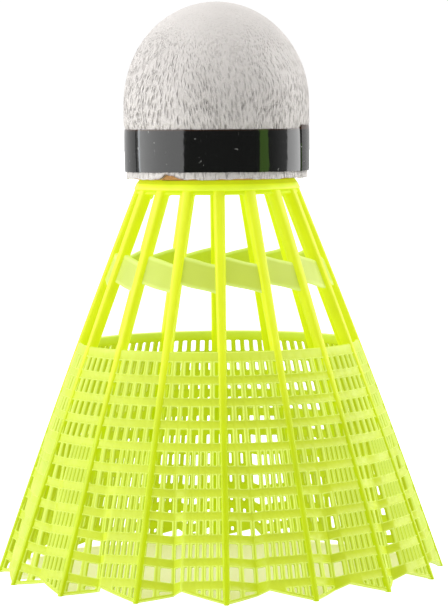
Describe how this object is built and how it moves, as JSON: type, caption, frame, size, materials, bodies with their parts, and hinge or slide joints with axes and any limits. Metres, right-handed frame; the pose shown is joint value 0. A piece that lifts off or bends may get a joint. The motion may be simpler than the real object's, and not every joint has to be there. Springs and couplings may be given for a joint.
{
  "type": "badminton shuttlecock",
  "caption": "Training shuttlecock: leather-covered round cork head with a dark tape band, glued to an open conical nylon skirt of ribs, brace webs and pleated mesh with a scalloped rim.",
  "frame": {"origin": "on the axis of the shuttlecock, in the plane of the rib feet that it stands on", "axes": "+Z along the axis from the open rim of the skirt to the head; +X through the middle of one rib"},
  "size_m": [0.0646, 0.0646, 0.0818],
  "materials": {
    "leather": "matte, fine wrinkled grain",
    "agglomerated_cork": "rough cork granules",
    "natural_cork": "rough natural cork",
    "black_tape": "glossy",
    "glue": "dried amber glue",
    "fluorescent_nylon": "satin translucent nylon"
  },
  "bodies": {
    "root": {"leather_cover": "leather", "cork_dome": "agglomerated_cork", "cork_base": "natural_cork", "tape_band": "black_tape", "glue_bond": "glue", "nylon_skirt": "fluorescent_nylon"}
  },
  "joints": []
}
